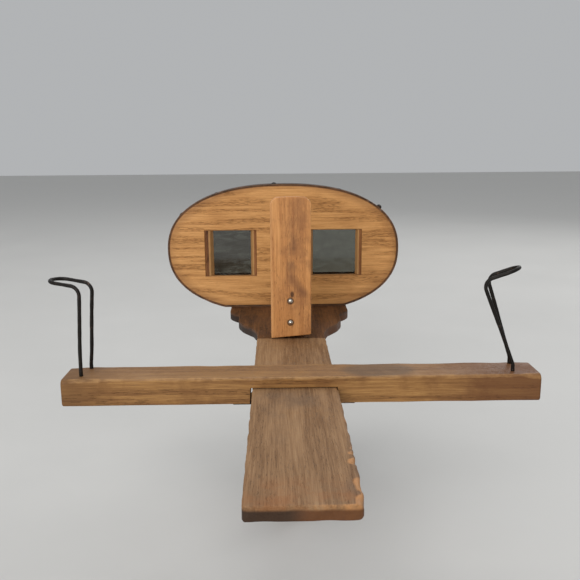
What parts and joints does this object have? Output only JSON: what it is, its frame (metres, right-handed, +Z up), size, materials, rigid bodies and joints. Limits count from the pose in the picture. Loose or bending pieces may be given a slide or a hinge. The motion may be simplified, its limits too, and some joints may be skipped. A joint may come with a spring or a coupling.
{
  "type": "stereo viewer",
  "caption": "Hand stereo viewer: oval lens board with an eye hood on a flat shaft, a sliding crossbar with wire card holders, and a folding turned handle.",
  "frame": {"origin": "middle of the flat foot of the handle, on the surface that the viewer stands on", "axes": "+Y from the card end to the eyes along the shaft, +Z up along the handle, +X across the shaft"},
  "size_m": [0.2025, 0.2964, 0.1788],
  "materials": {
    "shaft_wood": "worn satin",
    "board_wood": "worn satin",
    "strip_wood": "satin",
    "septum_wood": "satin",
    "bar_wood": "worn satin",
    "handle_wood": "satin",
    "hood_veneer": "satin",
    "binding": "velvet",
    "lens_glass": "polished",
    "black_iron": "dull",
    "bright_steel": "worn bright",
    "brass": "aged"
  },
  "bodies": {
    "viewer": {"shaft": "shaft_wood", "lens_board": "board_wood", "lens_left": "lens_glass", "lens_right": "lens_glass", "strip_left_outer": "strip_wood", "strip_left_inner": "strip_wood", "strip_right_outer": "strip_wood", "strip_right_inner": "strip_wood", "lens_keeper_left": "strip_wood", "lens_keeper_right": "strip_wood", "keeper_brads": "brass", "hood": "hood_veneer", "hood_binding": "binding", "hood_tacks": "black_iron", "septum_board": "septum_wood", "septum_block": "shaft_wood", "septum_nails": "bright_steel", "shaft_screws": "brass", "handle_bracket": "brass", "bracket_screws": "brass", "hinge_pin": "bright_steel"},
    "card_holder": {"crossbar": "bar_wood", "wire_holder_left": "black_iron", "wire_holder_right": "black_iron", "keeper_strap": "black_iron", "strap_nails": "bright_steel", "friction_leaf": "bright_steel"},
    "handle": {"handle_grip": "handle_wood", "handle_ferrule": "brass", "handle_tang": "brass", "ferrule_pin": "bright_steel"}
  },
  "joints": [
    {"name": "card_slide", "type": "slide", "parent": "viewer", "child": "card_holder", "axis": [0, 1, 0], "range_m": [-0.082, 0.051]},
    {"name": "handle_fold", "type": "hinge", "parent": "viewer", "child": "handle", "pos_m": [0, 0, 0.0825], "axis": [-1, 0, 0], "range_deg": [0, 90]}
  ]
}
